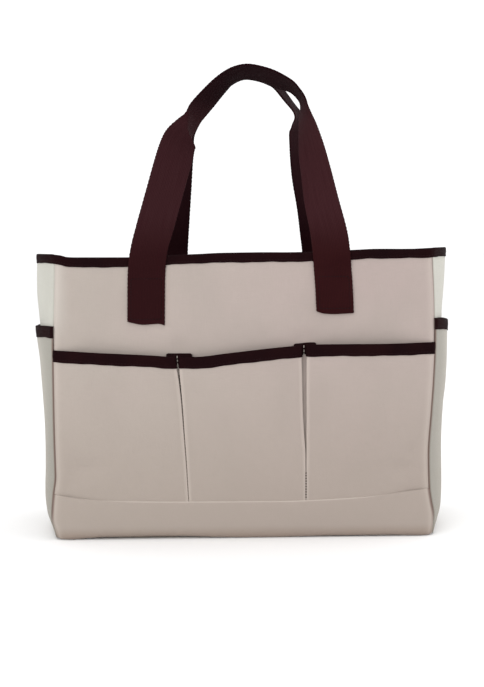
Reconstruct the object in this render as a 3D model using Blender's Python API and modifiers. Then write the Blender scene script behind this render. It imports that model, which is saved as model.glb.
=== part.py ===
"""A canvas garden tool bag with webbing handles, outside pockets and bound edges.

Metres, +Z up. The origin is on the floor under the middle of the bag, the front faces -Y.
Every piece of cloth, tape or webbing is a surface given by a formula and thickened by Solidify.
"""

import math

import bmesh
import bpy
import numpy as np
from mathutils import Quaternion, Vector

# All driving dimensions are in millimetres; MM turns them into metres.
MM = 0.001
GAP = 0.3                    # clearance between neighbouring pieces

# Cloth, tape and webbing
CANVAS = 1.5                 # thickness
BOARD = 2.5
TAPE = 1.0
WEBBING = 2.3
WEBBING_WIDTH = 38.0
THREAD_RADIUS = 0.5

# Body of the bag
HALF_WIDTH = 196.0           # front and back panels, seam to middle
HALF_DEPTH = 75.0
RIM_TOP = 297.0              # top of the rim tape
RIM_TAPE_HEIGHT = 9.0
RIM_END_GAP = 2.0            # between the two ends of the rim tape
GUSSET_BOW_LOW = 9.0         # how far a gusset bows out, up to GUSSET_BOW_START
GUSSET_BOW_HIGH = 25.0       # and at the rim
GUSSET_BOW_START = 150.0

# Base
FLOOR_BOW = 17.0
BASE_BAND_MIDDLE = 37.0      # top of the base band in the middle of the bag
BASE_BAND_RISE = 9.5         # how much higher it is at the side seams
BASE_BAND_POWER = 2.5
BASE_CORNER = 1.2            # radius where the base band turns under the bag
BOARD_INSET = 1.0            # how much smaller the board is than the inner bottom cloth

# Front pockets: one strip of cloth, sewn down at two dividers
POCKET_MOUTH = ((-HALF_WIDTH, 199.0), (-68.0, 191.0), (64.0, 200.0), (HALF_WIDTH, 203.0))
DIVIDER_TOPS = (-68.4, 63.9)
DIVIDER_FEET = (-58.0, 64.9)
DIVIDER_TOP_HEIGHT = 195.0
POCKET_DEPTH = 7.4
POCKET_PLEAT_RUN = 14.0      # distance from a seam over which a pocket swells
POCKET_SWELL_START = 50.0
POCKET_SWELL_END = 75.0
POCKET_TAPE_HEIGHT = 11.5
COLUMN_CROWDING = 0.8        # how strongly the grid's columns gather at a pocket's seams, 0 to 1
DIVIDER_STITCH_INSET = 1.0   # from the pocket tape down to the top of a divider's thread
SEAM_GAP_START = 60.0        # height up to which the gap behind a pocket's seams is SEAM_GAP_LOW
SEAM_GAP_END = 150.0         # and from which it is SEAM_GAP_HIGH, where the tape's inner leg needs room
SEAM_GAP_LOW = 0.3
SEAM_GAP_HIGH = 1.9

# Side pockets
SIDE_POCKET_MOUTH = 222.5
SIDE_POCKET_BOW = ((0.0, 17.0), (20.0, 20.0), (60.0, 21.5), (110.0, 22.0), (150.0, 24.0), (222.5, 27.5))
SIDE_TAPE_HEIGHT = 11.5

# Handles: x of the left and right legs at the rim, and the centre line of each loop
FRONT_LEGS = (-95.0, 93.5)
BACK_LEGS = (-81.0, 89.7)
TAB_FEET = {"front_left": 225.5, "front_right": 235.0, "back_left": 228.0, "back_right": 231.0}
TAB_LEAN = 4.0               # how far a tab's foot is outside its top
TAB_STEP_DROP = 8.0          # from the rim tape down to where a tab starts to step out over it
TAB_STEP_RUN = 6.0           # height over which it steps out
STITCH_INSET = 4.0
STITCH_TOP = 272.0
STITCH_FOOT = 5.0            # from the end of the tab
HINGE_HEIGHT = 297.3
HINGE_STANDOFF = 0.4         # from the outside of the webbing to the fold line
LOOP_FOOT = HINGE_HEIGHT + 1.0
LEVEL_FOOT = 30.0            # height over which the webbing's cut of a loop stays level with the rim
CROWN_LEAN = 58.0            # how far a crown leans in from its legs
# Each knot is x, height, and how many degrees the webbing has turned about its own line
FRONT_LINE = ((FRONT_LEGS[0], LOOP_FOOT, 0.0), (-91.5, 322.0, 0.0), (-80.5, 359.0, 0.0), (-71.0, 391.0, 0.0),
              (-62.0, 422.0, 8.0), (-40.0, 455.0, 58.0), (-12.0, 480.0, 63.0), (10.0, 488.0, 63.0),
              (35.0, 479.0, 62.0), (57.0, 460.0, 66.0), (67.0, 444.0, 72.0), (71.5, 424.0, 55.0),
              (77.0, 392.0, 41.0), (84.0, 352.0, 28.0), (91.5, 320.0, 18.0), (FRONT_LEGS[1], LOOP_FOOT, 0.0))
BACK_LINE = ((BACK_LEGS[0], LOOP_FOOT, 0.0), (-78.6, 332.0, 0.0), (-75.0, 370.0, 0.0), (-71.0, 408.0, 5.0),
             (-56.0, 443.0, 45.0), (-32.0, 470.0, 62.0), (0.0, 487.0, 63.0), (28.0, 482.0, 65.0),
             (48.0, 464.0, 76.0), (61.0, 447.0, 78.0), (67.0, 424.0, 55.0), (74.5, 385.0, 35.0),
             (83.0, 345.0, 24.0), (BACK_LEGS[1], LOOP_FOOT, 0.0))

COLOURS = {
    "canvas": ((0.62, 0.56, 0.50), 0.90),
    "side_canvas": ((0.68, 0.66, 0.58), 0.90),
    "tape": ((0.055, 0.022, 0.020), 0.70),
    "webbing": ((0.050, 0.016, 0.019), 0.75),
    "thread": ((0.60, 0.54, 0.47), 0.80),
    "dark_thread": ((0.045, 0.016, 0.018), 0.80),
    "board": ((0.35, 0.27, 0.18), 0.85),
}


def clear_scene():
    """Remove every object of the scene."""
    for obj in list(bpy.data.objects):
        bpy.data.objects.remove(obj, do_unlink=True)


def material(name):
    """The Principled material of that name, made once."""
    if name in bpy.data.materials:
        return bpy.data.materials[name]
    colour, roughness = COLOURS[name]
    mat = bpy.data.materials.new(name)
    mat.use_nodes = True
    shader = mat.node_tree.nodes["Principled BSDF"]
    shader.inputs["Base Color"].default_value = (*colour, 1.0)
    shader.inputs["Roughness"].default_value = roughness
    shader.inputs["Metallic"].default_value = 0.0
    return mat


def add_object(name, data, material_name, collection):
    """Put mesh or curve data into the collection as a named object."""
    data.materials.append(material(material_name))
    obj = bpy.data.objects.new(name, data)
    collection.objects.link(obj)
    return obj


def sheet(name, material_name, collection, columns, rows, surface, thickness, origin=(0, 0, 0)):
    """A cloth solid: surface(i, j) gives the middle of the cloth at grid point i of 0..columns, j of 0..rows."""
    bm = bmesh.new()
    bmesh.ops.create_grid(bm, x_segments=columns, y_segments=rows, size=0.5)
    base = Vector(origin)
    for vert in bm.verts:
        i = round((vert.co.x + 0.5) * columns)
        j = round((vert.co.y + 0.5) * rows)
        vert.co = (Vector(surface(i, j)) - base) * MM
    mesh = bpy.data.meshes.new(name)
    bm.to_mesh(mesh)
    bm.free()
    obj = add_object(name, mesh, material_name, collection)
    obj.location = base * MM
    solid = obj.modifiers.new("thickness", "SOLIDIFY")
    solid.thickness = thickness * MM
    solid.offset = 0.0
    solid.use_even_offset = True
    return obj


def smooth_step(t):
    """Smooth rise from 0 to 1 as t goes from 0 to 1."""
    t = min(max(t, 0.0), 1.0)
    return t * t * (3.0 - 2.0 * t)


def lerp(a, b, t):
    return a + (b - a) * t


def along(pairs, value):
    """Straight-line interpolation through (position, value) pairs."""
    positions, values = zip(*pairs)
    return float(np.interp(value, positions, values))


# ---------------------------------------------------------------- walls

def side_x(y, bow):
    """Half width of the bag at depth y, where the side bows out by bow in the middle."""
    return HALF_WIDTH + bow * (1.0 - (y / HALF_DEPTH) ** 2)


def gusset_bow(z):
    return along(((GUSSET_BOW_START, GUSSET_BOW_LOW), (RIM_TOP, GUSSET_BOW_HIGH)), z)


def wall_foot():
    """Height where the walls start, just above the cloth that wraps the base."""
    return CANVAS + GAP


def wall_top():
    """Top edge of the walls, under the rim tape."""
    return RIM_TOP - TAPE - GAP


def build_panels(collection):
    """The flat front and back panels."""
    for name, side in (("front_panel", -1.0), ("back_panel", 1.0)):
        y = side * (HALF_DEPTH - CANVAS / 2)
        columns, rows = 8, 6

        def surface(i, j, y=y):
            x = lerp(-HALF_WIDTH, HALF_WIDTH, i / columns)
            return (x, y, lerp(wall_foot(), wall_top(), j / rows))

        sheet(name, "canvas", collection, columns, rows, surface, CANVAS)


def build_gussets(collection):
    """The bowed sides, between the front and back panels."""
    half = HALF_DEPTH - CANVAS - GAP
    for name, side in (("left_gusset", -1.0), ("right_gusset", 1.0)):
        columns, rows = 12, 10

        def surface(i, j, side=side):
            y = lerp(-half, half, i / columns)
            z = lerp(wall_foot(), wall_top(), j / rows)
            return (side * (side_x(y, gusset_bow(z)) - CANVAS / 2), y, z)

        sheet(name, "side_canvas", collection, columns, rows, surface, CANVAS)


def wall_loop(z, steps):
    """Plan points of the middle of the walls at height z, all the way round from the back right seam."""
    y_wall = HALF_DEPTH - CANVAS / 2
    side = [(side_x(y, gusset_bow(z)) - CANVAS / 2, y) for y in np.linspace(-y_wall, y_wall, steps + 1)]
    x_wall = side[0][0]
    flat = list(np.linspace(x_wall, -x_wall, steps + 1))
    back = [(x, y_wall) for x in flat[:-1]]
    left = [(-x, y) for x, y in reversed(side)][:-1]
    front = [(-x, -y_wall) for x in flat[:-1]]
    return back + left + front + side


def offset_line(points, distance, closed):
    """Points moved sideways by distance, to the right of the way the line runs, with mitred corners."""
    points = np.asarray(points, float)
    steps = np.diff(points, axis=0)
    steps /= np.linalg.norm(steps, axis=1)[:, None]
    if closed:
        before = np.vstack((steps[-1:], steps))
        after = np.vstack((steps, steps[:1]))
    else:
        before = np.vstack((steps[:1], steps))
        after = np.vstack((steps, steps[-1:]))
    normal_before = np.stack((before[:, 1], -before[:, 0]), axis=1)
    normal_after = np.stack((after[:, 1], -after[:, 0]), axis=1)
    mitre = normal_before + normal_after
    mitre /= (mitre * normal_before).sum(1)[:, None]
    return points + mitre * distance


def folded_tape(height):
    """Section of a tape folded over an edge: (side, drop below the tape's top) from the outer to the inner leg."""
    top = TAPE / 2
    return ((1, height), (1, height / 2), (1, top), (-1, top), (-1, height / 2), (-1, height))


def tape_reach():
    """From the middle of the bound cloth to the middle of the tape."""
    return CANVAS / 2 + GAP + TAPE / 2


def build_rim_binding(collection):
    """One tape folded over the whole rim; its two ends nearly meet at the back right seam."""
    steps = 12
    section = folded_tape(RIM_TAPE_HEIGHT)
    lines = []
    for side, drop in section:
        z = RIM_TOP - drop
        loop = np.array(wall_loop(z, steps))
        first = loop[1] - loop[0]
        end_gap = first / np.linalg.norm(first) * RIM_END_GAP
        line = offset_line(loop, -side * tape_reach(), True)
        line[0] += end_gap
        lines.append([(x, y, z) for x, y in line])
    columns = len(lines[0]) - 1

    def surface(i, j):
        return lines[j][i]

    sheet("rim_binding", "tape", collection, columns, len(section) - 1, surface, TAPE)


# ---------------------------------------------------------------- base

def build_base(collection):
    """Inner bottom cloth, stiffening board, and the outer cloth that turns up at the front and back."""
    half = HALF_DEPTH - CANVAS - GAP
    board_z = CANVAS + GAP + BOARD / 2
    bottom_z = CANVAS + GAP + BOARD + GAP + CANVAS / 2
    inner = CANVAS + GAP
    plates = (("bottom_panel", "canvas", bottom_z, CANVAS, inner),
              ("base_board", "board", board_z, BOARD, inner + BOARD_INSET))
    for name, material_name, z, thickness, inset in plates:
        columns, rows = 6, 10
        y_half = half - (inset - inner)

        def surface(i, j, z=z, inset=inset, y_half=y_half):
            y = lerp(-y_half, y_half, j / rows)
            reach = side_x(y, GUSSET_BOW_LOW) - inset
            return (lerp(-reach, reach, i / columns), y, z)

        sheet(name, material_name, collection, columns, rows, surface, thickness)
    build_base_wrap(collection)


def base_band_top(x):
    """Top of the base band: a shallow smile, lowest in the middle of the bag."""
    return BASE_BAND_MIDDLE + BASE_BAND_RISE * abs(x / HALF_WIDTH) ** BASE_BAND_POWER


def build_base_wrap(collection):
    """The cloth under the bag, turned up at the front over the pockets' foot and at the back."""
    front_y = -(HALF_DEPTH + 2 * GAP + CANVAS * 1.5)
    back_y = HALF_DEPTH + GAP + CANVAS / 2
    floor_z = CANVAS / 2
    turn = (0.0, 0.5, 1.0)
    floor_steps = 12
    columns = 20
    front_turn = [(front_y + BASE_CORNER * (1 - math.cos(t * math.pi / 2)),
                   floor_z + BASE_CORNER * (1 - math.sin(t * math.pi / 2))) for t in turn]
    back_turn = [(back_y - BASE_CORNER * (1 - math.cos(t * math.pi / 2)),
                  floor_z + BASE_CORNER * (1 - math.sin(t * math.pi / 2))) for t in reversed(turn)]
    floor = [(y, floor_z) for y in np.linspace(front_turn[-1][0], back_turn[0][0], floor_steps + 1)[1:-1]]
    section = [None] + front_turn + floor + back_turn + [None]

    def surface(i, j):
        share = lerp(-1.0, 1.0, i / columns)
        if section[j] is None:
            x = share * HALF_WIDTH
            return (x, front_y if j == 0 else back_y, base_band_top(x))
        y, z = section[j]
        reach = HALF_WIDTH + FLOOR_BOW * max(0.0, 1.0 - (y / HALF_DEPTH) ** 2)
        return (share * reach, y, z)

    sheet("base_wrap", "canvas", collection, columns, len(section) - 1, surface, CANVAS)


# ---------------------------------------------------------------- pockets

def seam_gap(z):
    """Room behind a pocket along its seams."""
    return along(((SEAM_GAP_START, SEAM_GAP_LOW), (SEAM_GAP_END, SEAM_GAP_HIGH)), z)


def divider_x(which, z):
    """Where the divider's stitch line is at height z."""
    return lerp(DIVIDER_FEET[which], DIVIDER_TOPS[which], z / DIVIDER_TOP_HEIGHT)


def pocket_x(i, z, per_pocket):
    """x of column i of the pocket strip, with columns crowded towards the seams and dividers."""
    edges = (-HALF_WIDTH, divider_x(0, z), divider_x(1, z), HALF_WIDTH)
    pocket = min(i // per_pocket, 2)
    share = (i - pocket * per_pocket) / per_pocket
    share = lerp(share, 0.5 - 0.5 * math.cos(math.pi * share), COLUMN_CROWDING)
    return lerp(edges[pocket], edges[pocket + 1], share), edges


def pocket_y(x, z, edges):
    """y of the middle of the pocket strip: it lies against the bag at its seams and swells between them."""
    distance = min(abs(x - edge) for edge in edges)
    swell = smooth_step(distance / POCKET_PLEAT_RUN)
    rise = smooth_step((z - POCKET_SWELL_START) / (POCKET_SWELL_END - POCKET_SWELL_START))
    return -(HALF_DEPTH + seam_gap(z) + POCKET_DEPTH * swell * rise + CANVAS / 2)


def build_front_pockets(collection):
    """The pocket strip, the tape folded over its mouth and the thread that sews each divider."""
    per_pocket, rows = 14, 14
    columns = 3 * per_pocket

    def strip(i, j):
        x_mouth, _ = pocket_x(i, DIVIDER_TOP_HEIGHT, per_pocket)
        z = lerp(wall_foot(), along(POCKET_MOUTH, x_mouth) - TAPE - GAP, j / rows)
        x, edges = pocket_x(i, z, per_pocket)
        return (x, pocket_y(x, z, edges), z)

    sheet("front_pocket_panel", "canvas", collection, columns, rows, strip, CANVAS)

    lines = []
    for side, drop in folded_tape(POCKET_TAPE_HEIGHT):
        line = []
        heights = []
        for i in range(columns + 1):
            x_mouth, _ = pocket_x(i, DIVIDER_TOP_HEIGHT, per_pocket)
            z = along(POCKET_MOUTH, x_mouth) - drop
            x, edges = pocket_x(i, z, per_pocket)
            line.append((x, pocket_y(x, z, edges)))
            heights.append(z)
        moved = offset_line(line, side * tape_reach(), False)
        lines.append([(x, y, z) for (x, y), z in zip(moved, heights)])

    def tape(i, j):
        return lines[j][i]

    sheet("front_pocket_binding", "tape", collection, columns, len(lines) - 1, tape, TAPE)
    for number in range(2):
        build_divider_stitch(collection, number)


def build_divider_stitch(collection, number):
    """The thread line that sews the pocket strip to the bag at one divider."""
    foot = POCKET_SWELL_START
    head = along(POCKET_MOUTH, DIVIDER_TOPS[number]) - POCKET_TAPE_HEIGHT - DIVIDER_STITCH_INSET
    steps = 8
    points = []
    for step in range(steps + 1):
        z = lerp(foot, head, step / steps)
        y = -(HALF_DEPTH + seam_gap(z) + CANVAS + GAP + THREAD_RADIUS)
        points.append((divider_x(number, z), y, z))
    thread(f"divider_stitch_{number + 1}", "thread", collection, points, False)


def thread(name, material_name, collection, points, cyclic):
    """A round thread through the points, made into a closed mesh."""
    curve = bpy.data.curves.new(name, "CURVE")
    curve.dimensions = "3D"
    curve.bevel_depth = THREAD_RADIUS * MM
    curve.bevel_resolution = 1
    curve.use_fill_caps = True
    spline = curve.splines.new("POLY")
    spline.points.add(len(points) - 1)
    for point, place in zip(spline.points, points):
        point.co = (*(value * MM for value in place), 1.0)
    spline.use_cyclic_u = cyclic
    guide = bpy.data.objects.new(name + "_guide", curve)
    bpy.context.scene.collection.objects.link(guide)
    graph = bpy.context.evaluated_depsgraph_get()
    mesh = bpy.data.meshes.new_from_object(guide.evaluated_get(graph))
    bpy.data.objects.remove(guide, do_unlink=True)
    bm = bmesh.new()
    bm.from_mesh(mesh)
    bmesh.ops.remove_doubles(bm, verts=bm.verts, dist=0.00001)
    bm.to_mesh(mesh)
    bm.free()
    mesh.name = name
    return add_object(name, mesh, material_name, collection)


def side_pocket_x(y, z):
    """Half width at the middle of a side pocket's cloth."""
    gap = seam_gap(z)
    bow = along(SIDE_POCKET_BOW, z) - gap - CANVAS
    return HALF_WIDTH + gap + CANVAS / 2 + bow * (1.0 - (y / HALF_DEPTH) ** 2)


def build_side_pockets(collection):
    """A pocket on each gusset, and the tape folded over its mouth."""
    half = HALF_DEPTH - CANVAS - GAP
    columns, rows = 14, 12
    depths = np.linspace(-half, half, columns + 1)
    for word, side in (("left", -1.0), ("right", 1.0)):

        def cloth(i, j, side=side):
            z = lerp(wall_foot(), SIDE_POCKET_MOUTH - TAPE - GAP, j / rows)
            return (side * side_pocket_x(depths[i], z), depths[i], z)

        sheet(f"{word}_pocket_panel", "side_canvas", collection, columns, rows, cloth, CANVAS)
        lines = []
        for leg, drop in folded_tape(SIDE_TAPE_HEIGHT):
            z = SIDE_POCKET_MOUTH - drop
            line = [(side_pocket_x(y, z), y) for y in depths]
            moved = offset_line(line, leg * tape_reach(), False)
            lines.append([(side * x, y, z) for x, y in moved])

        def tape(i, j, lines=lines):
            return lines[j][i]

        sheet(f"{word}_pocket_binding", "tape", collection, columns, len(lines) - 1, tape, TAPE)


# ---------------------------------------------------------------- handles

def outer_webbing_y():
    """Middle of the webbing where it passes outside the rim tape."""
    return HALF_DEPTH + GAP + TAPE + GAP + WEBBING / 2


def tab_y(z):
    """Middle of a tab: against the panel below the rim tape, and outside the tape above it."""
    low = HALF_DEPTH + GAP + WEBBING / 2
    start = RIM_TOP - RIM_TAPE_HEIGHT - TAB_STEP_DROP
    return lerp(low, outer_webbing_y(), smooth_step((z - start) / TAB_STEP_RUN))


def build_tabs(collection):
    """The four sewn ends of the webbing, each with its box of stitches."""
    for face, side, legs in (("front", -1.0, FRONT_LEGS), ("back", 1.0, BACK_LEGS)):
        for word, leg in zip(("left", "right"), legs):
            foot = TAB_FEET[f"{face}_{word}"]
            head = HINGE_HEIGHT - GAP
            out = math.copysign(TAB_LEAN, leg)
            columns, rows = 2, 16

            def place(across, z, leg=leg, foot=foot, out=out, head=head):
                return leg + out * (head - z) / (head - foot) + across

            def surface(i, j, foot=foot, head=head, side=side, place=place):
                z = lerp(foot, head, j / rows)
                across = lerp(-0.5, 0.5, i / columns) * WEBBING_WIDTH
                return (place(across, z), side * tab_y(z), z)

            sheet(f"{face}_handle_{word}_tab", "webbing", collection, columns, rows, surface, WEBBING)
            reach = WEBBING_WIDTH / 2 - STITCH_INSET
            low, high = foot + STITCH_FOOT, STITCH_TOP
            corners = ((-reach, low), (reach, low), (reach, high), (-reach, high))
            y = side * (HALF_DEPTH + GAP + WEBBING + GAP + THREAD_RADIUS)
            points = [(place(across, z), y, z) for across, z in corners]
            thread(f"{face}_{word}_box_stitch", "dark_thread", collection, points, True)


def smooth_line(knots, steps):
    """A smooth curve through the knots (Catmull-Rom), with steps pieces between two knots."""
    knots = [np.array(knot, float) for knot in knots]
    knots = [2 * knots[0] - knots[1]] + knots + [2 * knots[-1] - knots[-2]]
    points = []
    for k in range(1, len(knots) - 2):
        a, b, c, d = knots[k - 1:k + 3]
        for step in range(steps):
            t = step / steps
            points.append(0.5 * (2 * b + (c - a) * t + (2 * a - 5 * b + 4 * c - d) * t * t
                                 + (3 * b - a - 3 * c + d) * t ** 3))
    points.append(knots[-2])
    return points


def build_handle(name, collection, side, knots):
    """One loop of webbing from rim to rim. It leans in over the bag and lies over at its crown."""
    crown = max(z for _, z, _ in knots)
    line = smooth_line(knots, 3)
    centre = []
    for x, z, _ in line:
        lean = CROWN_LEAN * (z - HINGE_HEIGHT) / (crown - HINGE_HEIGHT)
        centre.append(Vector((x, lean - outer_webbing_y(), z)))
    across = []
    for k, (x, z, turn) in enumerate(line):
        run = centre[min(k + 1, len(centre) - 1)] - centre[max(k - 1, 0)]
        run.x *= smooth_step((z - HINGE_HEIGHT) / LEVEL_FOOT)
        run.normalize()
        facing = Vector((0.0, -1.0, 0.0))
        facing = (facing - run * facing.dot(run)).normalized()
        facing = Quaternion(run, math.radians(turn)) @ facing
        across.append(run.cross(facing))
    columns = len(centre) - 1
    rows = 2

    def surface(i, j):
        x, y, z = centre[i] + across[i] * (lerp(-0.5, 0.5, j / rows) * WEBBING_WIDTH)
        return (x, -side * y, z)

    hinge_y = side * (outer_webbing_y() + WEBBING / 2 + HINGE_STANDOFF)
    sheet(name, "webbing", collection, columns, rows, surface, WEBBING, origin=(0.0, hinge_y, HINGE_HEIGHT))


def build_handles(collection):
    build_handle("front_handle", collection, -1.0, FRONT_LINE)
    build_handle("back_handle", collection, 1.0, BACK_LINE)


def main():
    clear_scene()
    collection = bpy.data.collections.new("garden_tool_bag")
    bpy.context.scene.collection.children.link(collection)
    build_panels(collection)
    build_gussets(collection)
    build_rim_binding(collection)
    build_base(collection)
    build_front_pockets(collection)
    build_side_pockets(collection)
    build_tabs(collection)
    build_handles(collection)


main()
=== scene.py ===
"""The looks of the garden tool bag: cloth, tape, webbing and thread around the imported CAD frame.

Shapes are worked out in millimetres, in the CAD's frame, and MM turns them into metres. A sheet is a grid
of points (rows, columns, 3) on the middle of the cloth, rows upwards, columns to the right as seen from
outside; shell() gives it its thickness.
"""

import math

import bpy
import numpy as np
from mathutils import Matrix, Vector


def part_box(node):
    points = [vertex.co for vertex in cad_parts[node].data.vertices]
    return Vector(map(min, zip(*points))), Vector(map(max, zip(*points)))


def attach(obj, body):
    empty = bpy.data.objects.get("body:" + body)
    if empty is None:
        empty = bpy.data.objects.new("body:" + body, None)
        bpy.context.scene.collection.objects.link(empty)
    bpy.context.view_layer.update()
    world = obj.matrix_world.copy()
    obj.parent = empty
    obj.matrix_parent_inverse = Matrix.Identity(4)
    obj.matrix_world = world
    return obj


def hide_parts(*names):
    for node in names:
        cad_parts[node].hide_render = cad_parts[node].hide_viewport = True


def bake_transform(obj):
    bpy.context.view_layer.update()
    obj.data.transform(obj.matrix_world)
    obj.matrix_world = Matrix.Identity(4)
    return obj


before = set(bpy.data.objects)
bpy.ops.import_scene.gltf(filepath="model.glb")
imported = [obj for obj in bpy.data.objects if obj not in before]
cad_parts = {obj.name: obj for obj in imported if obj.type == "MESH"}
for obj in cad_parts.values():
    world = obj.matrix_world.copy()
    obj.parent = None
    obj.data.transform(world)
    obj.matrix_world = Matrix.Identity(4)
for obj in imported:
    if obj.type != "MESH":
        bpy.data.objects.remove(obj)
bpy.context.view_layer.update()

MM = 0.001


def cad_mm(node):
    """Lowest and highest corner of a CAD node, in millimetres."""
    low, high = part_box(node)
    return np.array(low) / MM, np.array(high) / MM


# Sizes taken from the frame
HALF_WIDTH = cad_mm("front_panel")[1][0]
HALF_DEPTH = -cad_mm("front_panel")[0][1]
RIM_TOP = cad_mm("rim_binding")[1][2]
RIM_TAPE = RIM_TOP - cad_mm("rim_binding")[0][2]
SIDE_MOUTH = cad_mm("left_pocket_binding")[1][2]
HINGE = RIM_TOP + 0.3
WEBBING_WIDTH = 38.6

# Thicknesses
CANVAS = 1.1
TAPE = 0.7
WEBBING = 2.0
THREAD = 0.32

POCKET_STRIP = 1.0           # cloth of the front pockets

TAPE_STITCH = 2.4            # from a tape's free edge up to its stitches
RIM_GAP = 0.3                # from a tape's fold down to the cloth that it binds, at the rim
MOUTH_GAP = 0.35             # and at a pocket's mouth
WALL_FOOT = 2.2
GUSSET_HALF = HALF_DEPTH - 2.2
SHOULDER = 3.2               # radius where the front layers turn into a side seam
SIDE_SHOULDER = 2.0
CORNER_SOFT = 3.2            # how far the top left corner is rounded back

# Half widths along the front's side seams: (height, distance from the middle)
LEFT_SEAM = ((0, 195.0), (11, 197.6), (22, 200.4), (47, 198.3), (68, 195.6), (110, 195.8), (190, 195.0),
             (253, 193.4), (297, 191.6))
RIGHT_SEAM = ((0, 196.0), (21, 197.6), (37, 195.0), (50, 193.2), (85, 192.3), (132, 195.3), (160, 197.2),
              (210, 199.0), (240, 198.6), (297, 196.0))
# Half widths in the middle of the sides
GUSSET_OUT = {-1: ((0, 205), (12, 209.5), (40, 213.5), (120, 213.8), (200, 217.0), (231, 219.6), (259, 221.2),
                   (300, 220.6)),
              1: ((0, 205), (12, 209.5), (40, 213.0), (120, 213.5), (200, 215.6), (231, 217.0), (259, 219.0),
                  (300, 221.0))}
POCKET_OUT = {-1: ((0, 206), (8, 210.6), (20, 214.6), (40, 217.2), (140, 218.4), (160, 218.9), (185, 220.2),
                   (208, 223.0), (224, 223.9)),
              1: ((0, 207), (8, 211.5), (20, 215.8), (45, 217.4), (79, 217.8), (135, 219.3), (151, 220.8),
                  (184, 222.5), (224, 223.8))}
FRONT_RIM = ((-196, 297.4), (-191, 297.0), (-180, 294.3), (-170, 293.7), (-115, 293.5), (-90, 294.3),
             (-53, 296.2), (-20, 296.9), (62, 296.9), (113, 298.0), (133, 299.1), (190, 299.2),
             (196, 299.8))
BACK_RIM = ((-196, 292.8), (-110, 292.0), (-53, 294.7), (-20, 296.0), (20, 296.1), (58, 295.7),
            (132, 297.6), (155, 298.4), (196, 297.8))
BAND_TOP = ((-196, 48.0), (-164, 43.2), (-132, 40.9), (-58, 39.2), (41, 38.9), (66, 39.6), (124, 42.0),
            (152, 45.0), (196, 49.8))
MOUTH = ((-196, 199.0), (-144, 196.3), (-92, 193.2), (-70, 191.3), (-48, 191.2), (-17, 194.4), (23, 198.6),
         (52, 201.0), (60, 201.5), (68, 202.2), (78, 202.4), (100, 202.6), (139, 202.4), (196, 202.9))
POCKET_TAPE = 12.0

# The two pleats that divide the front pockets: (height, middle x) and (height, half width of the slit)
DIVIDERS = (((40, -57.6), (77, -59.2), (109, -61.0), (147, -63.2), (190, -67.2)),
            ((40, 64.7), (92, 65.0), (110, 64.4), (150, 63.9), (190, 63.8)))
SLITS = (((45, 0.65), (100, 0.75), (147, 0.95), (170, 1.2), (178, 1.7), (186, 2.3), (194, 2.5)),
         ((45, 0.62), (70, 0.68), (88, 0.85), (97, 1.1), (110, 1.6), (130, 2.2), (180, 2.7), (194, 3.0)))
PLEATS = ((10.0, 14.5), (9.3, 11.5))     # how far each pleat folds back to its left and right
MOUTH_LIFT = (2.9, 1.7)      # how much higher each pleat's back layer stands

SINK = -CANVAS / 2 - 0.02    # offset of the middle of a wall's cloth from the outer plane


# --- curves and meshes

def smooth(t):
    """Smooth rise from 0 to 1 as t goes from 0 to 1."""
    t = np.clip(t, 0.0, 1.0)
    return t * t * (3.0 - 2.0 * t)


def lerp(a, b, t):
    return a + (b - a) * t


def through(pairs, value):
    """Smooth interpolation through (position, value) pairs that never overshoots; flat beyond the ends."""
    place, height = np.array(pairs, float).T
    rise = np.diff(height) / np.diff(place)
    product = rise[1:] * rise[:-1]
    total = np.where(product > 0, rise[1:] + rise[:-1], 1.0)
    inner = np.where(product > 0, 2 * product / total, 0.0)
    slope = np.concatenate((rise[:1], inner, rise[-1:]))
    value = np.clip(np.asarray(value, float), place[0], place[-1])
    k = np.clip(np.searchsorted(place, value) - 1, 0, len(place) - 2)
    step = place[k + 1] - place[k]
    t = (value - place[k]) / step
    rest = 1.0 - t
    return (height[k] * (1 + 2 * t) * rest ** 2 + slope[k] * step * t * rest ** 2
            + height[k + 1] * (3 - 2 * t) * t ** 2 - slope[k + 1] * step * rest * t ** 2)


def dent(x, z, place):
    """A soft round dent: place is (x, z, width, height, depth)."""
    cx, cz, wide, high, depth = place
    return depth * np.exp(-((x - cx) / wide) ** 2 - ((z - cz) / high) ** 2)


def unit(vectors):
    return vectors / np.maximum(np.linalg.norm(vectors, axis=-1, keepdims=True), 1e-9)


def run_lengths(points):
    """Length along a line of points, from its start, in metres."""
    steps = np.linalg.norm(np.diff(points, axis=0), axis=1)
    return np.concatenate(([0.0], np.cumsum(steps))) * MM


def slope_along(grid, axis, ring):
    """Central differences along an axis of a grid of points; ring joins its two ends."""
    if not ring:
        return np.gradient(grid, axis=axis)
    return (np.roll(grid, -1, axis=axis) - np.roll(grid, 1, axis=axis)) / 2


def grid_normals(grid, ring):
    """Unit normals of a grid (rows, columns, 3), to its outside."""
    return unit(np.cross(slope_along(grid, 1, ring), slope_along(grid, 0, False)))


def strips(first, second, ring):
    """Quads between two lines of vertex numbers."""
    if ring:
        first = np.append(first, first[0])
        second = np.append(second, second[0])
    return np.stack((first[:-1], first[1:], second[1:], second[:-1]), axis=1)


def make_object(name, points, faces, uv, material):
    """A smooth-shaded mesh object from points in millimetres, faces and one UV pair a point."""
    mesh = bpy.data.meshes.new(name)
    mesh.from_pydata((points * MM).tolist(), [], [tuple(int(v) for v in face) for face in faces])
    layer = mesh.uv_layers.new(name="UVMap")
    corner_points = np.zeros(len(mesh.loops), int)
    mesh.loops.foreach_get("vertex_index", corner_points)
    layer.data.foreach_set("uv", uv[corner_points].ravel())
    mesh.shade_smooth()
    mesh.set_sharp_from_angle(angle=math.radians(55))
    mesh.materials.append(material)
    obj = bpy.data.objects.new(name, mesh)
    bpy.context.scene.collection.objects.link(obj)
    return obj


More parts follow.
